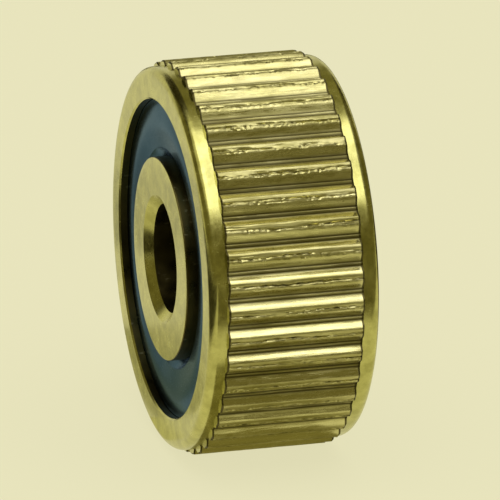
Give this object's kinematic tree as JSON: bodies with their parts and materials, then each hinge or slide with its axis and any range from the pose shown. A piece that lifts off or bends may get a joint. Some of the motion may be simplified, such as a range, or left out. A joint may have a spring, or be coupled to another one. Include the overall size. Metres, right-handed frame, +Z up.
{
  "type": "knurled bearing roller",
  "caption": "Sealed ball bearing roller whose thick outer ring has a coarse straight knurl between two plain shoulders, turning on a chamfered inner ring.",
  "frame": {"origin": "centre of the bore at mid-width", "axes": "+Y along the bore's axis, from the front face to the back face; +Z up, through a crest of the knurl and through ball_1"},
  "size_m": [0.036, 0.0158, 0.036],
  "materials": {
    "outer_ring_steel": "rolled knurl, satin, pale gold",
    "inner_ring_steel": "ground faces, satin, pale gold",
    "ball_steel": "lapped, mirror bright",
    "cage_steel": "pressed, bright",
    "rivet_steel": "bright",
    "insert_steel": "pressed, dull",
    "seal_rubber": "moulded, satin, blue-grey"
  },
  "bodies": {
    "inner_ring": {"inner_ring": "inner_ring_steel"},
    "outer_ring": {"outer_ring": "outer_ring_steel", "seal_insert_front": "insert_steel", "seal_insert_back": "insert_steel", "seal_rubber_front": "seal_rubber", "seal_rubber_back": "seal_rubber"},
    "cage": {"cage_front": "cage_steel", "cage_back": "cage_steel", "cage_rivets": "rivet_steel"},
    "ball_1": {"ball_1": "ball_steel"},
    "ball_2": {"ball_2": "ball_steel"},
    "ball_3": {"ball_3": "ball_steel"},
    "ball_4": {"ball_4": "ball_steel"},
    "ball_5": {"ball_5": "ball_steel"},
    "ball_6": {"ball_6": "ball_steel"},
    "ball_7": {"ball_7": "ball_steel"},
    "ball_8": {"ball_8": "ball_steel"}
  },
  "joints": [
    {"name": "outer_spin", "type": "hinge", "parent": "inner_ring", "child": "outer_ring", "pos_m": [0, 0, 0], "axis": [0, 1, 0], "continuous": true},
    {"name": "cage_spin", "type": "hinge", "parent": "inner_ring", "child": "cage", "pos_m": [0, 0, 0], "axis": [0, 1, 0], "continuous": true},
    {"name": "ball_1_roll", "type": "hinge", "parent": "cage", "child": "ball_1", "pos_m": [0, 0, 0.0111], "axis": [0, 1, 0], "continuous": true},
    {"name": "ball_2_roll", "type": "hinge", "parent": "cage", "child": "ball_2", "pos_m": [0.00785, 0, 0.00785], "axis": [0, 1, 0], "continuous": true},
    {"name": "ball_3_roll", "type": "hinge", "parent": "cage", "child": "ball_3", "pos_m": [0.0111, 0, 0], "axis": [0, 1, 0], "continuous": true},
    {"name": "ball_4_roll", "type": "hinge", "parent": "cage", "child": "ball_4", "pos_m": [0.00785, 0, -0.00785], "axis": [0, 1, 0], "continuous": true},
    {"name": "ball_5_roll", "type": "hinge", "parent": "cage", "child": "ball_5", "pos_m": [0, 0, -0.0111], "axis": [0, 1, 0], "continuous": true},
    {"name": "ball_6_roll", "type": "hinge", "parent": "cage", "child": "ball_6", "pos_m": [-0.00785, 0, -0.00785], "axis": [0, 1, 0], "continuous": true},
    {"name": "ball_7_roll", "type": "hinge", "parent": "cage", "child": "ball_7", "pos_m": [-0.0111, 0, 0], "axis": [0, 1, 0], "continuous": true},
    {"name": "ball_8_roll", "type": "hinge", "parent": "cage", "child": "ball_8", "pos_m": [-0.00785, 0, 0.00785], "axis": [0, 1, 0], "continuous": true}
  ],
  "couplings": [
    {"joint": "cage_spin", "follows": "outer_spin", "ratio": 0.62514},
    {"joint": "ball_1_roll", "follows": "outer_spin", "ratio": 1.8726},
    {"joint": "ball_2_roll", "follows": "outer_spin", "ratio": 1.8726},
    {"joint": "ball_3_roll", "follows": "outer_spin", "ratio": 1.8726},
    {"joint": "ball_4_roll", "follows": "outer_spin", "ratio": 1.8726},
    {"joint": "ball_5_roll", "follows": "outer_spin", "ratio": 1.8726},
    {"joint": "ball_6_roll", "follows": "outer_spin", "ratio": 1.8726},
    {"joint": "ball_7_roll", "follows": "outer_spin", "ratio": 1.8726},
    {"joint": "ball_8_roll", "follows": "outer_spin", "ratio": 1.8726}
  ]
}
